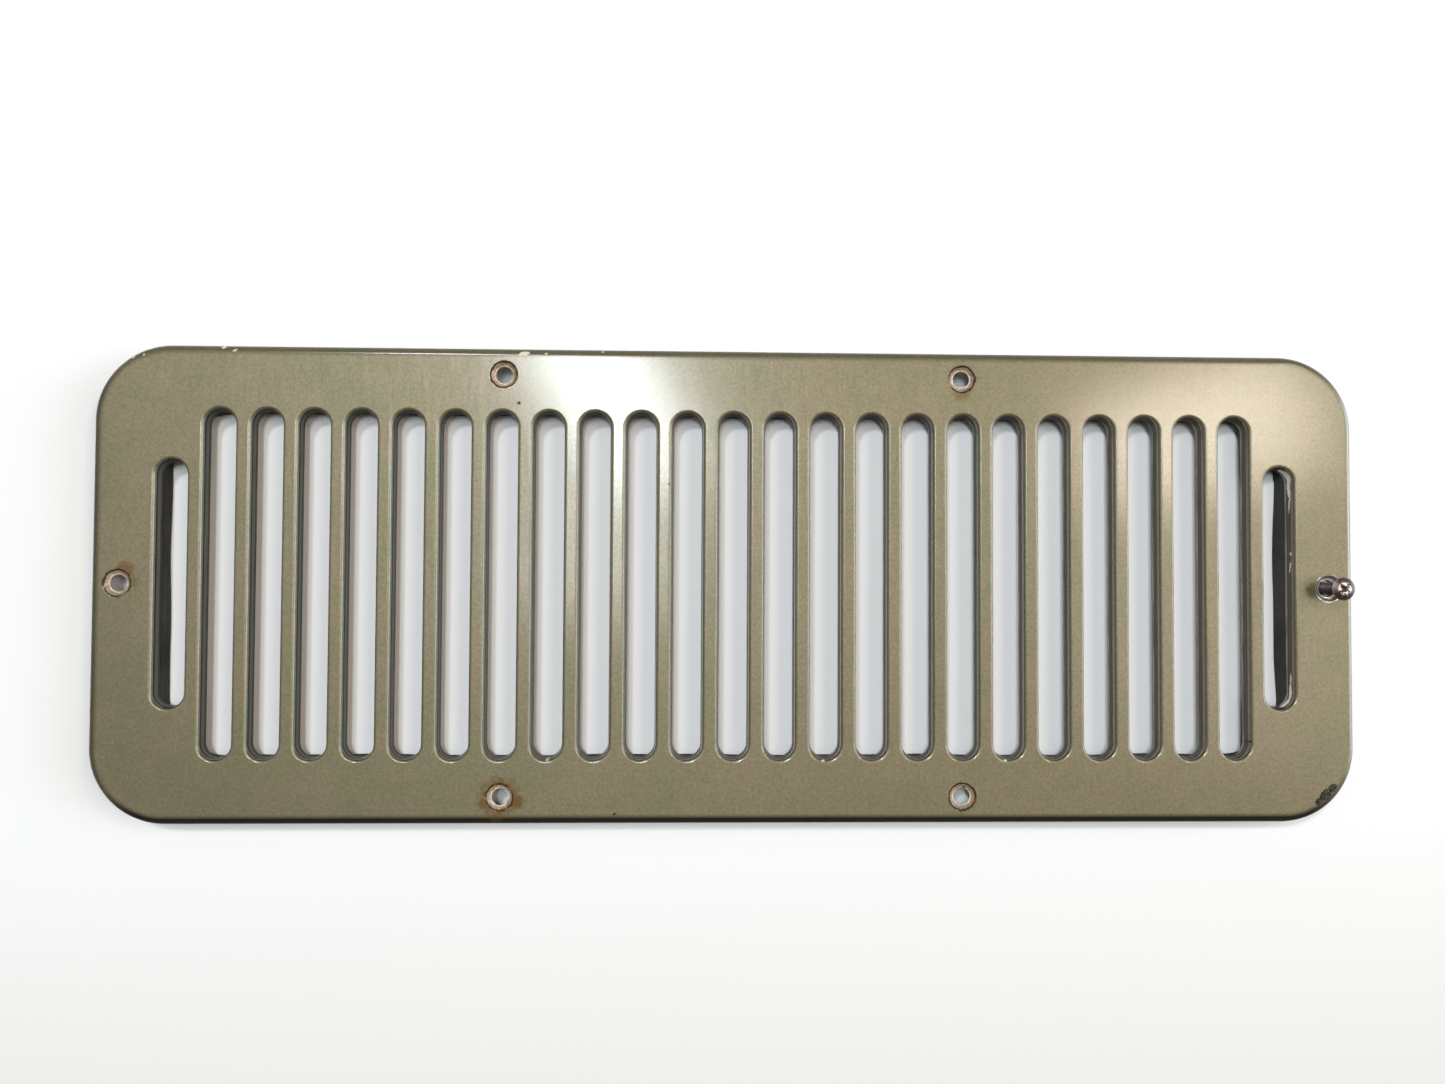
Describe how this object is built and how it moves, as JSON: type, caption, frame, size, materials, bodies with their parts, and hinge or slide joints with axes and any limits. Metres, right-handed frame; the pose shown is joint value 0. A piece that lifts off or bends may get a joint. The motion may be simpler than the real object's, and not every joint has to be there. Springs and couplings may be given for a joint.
{
  "type": "air intake grille panel",
  "caption": "Pressed steel air intake grille: painted panel with drawn parallel slots, dimpled screw seats, a rubber seal round its back and a captive countersunk screw.",
  "frame": {"origin": "middle of the underside, on the surface that the perimeter seal rests on; the painted face is 12 mm above it", "axes": "+X along the panel's length towards the end with the screw, +Y across the panel, +Z out of the painted face"},
  "size_m": [0.508, 0.19, 0.0232],
  "materials": {
    "olive_paint": "satin metallic",
    "sponge_rubber": "matte",
    "adhesive_tape": "matte",
    "nylon": "satin",
    "dark_steel": "oxidised, worn bright in the recess"
  },
  "bodies": {
    "panel": {"grille_panel": "olive_paint", "perimeter_seal": "sponge_rubber", "seal_tape": "adhesive_tape"},
    "retainer": {"screw_retainer": "nylon"},
    "screw": {"fixing_screw": "dark_steel"}
  },
  "joints": [
    {"name": "screw_travel", "type": "slide", "parent": "panel", "child": "retainer", "axis": [0, 0, 1], "range_m": [-0.0101, 0]},
    {"name": "screw_turn", "type": "hinge", "parent": "retainer", "child": "screw", "pos_m": [0.2435, 0, 0.0117], "axis": [0, 0, 1], "continuous": true}
  ]
}
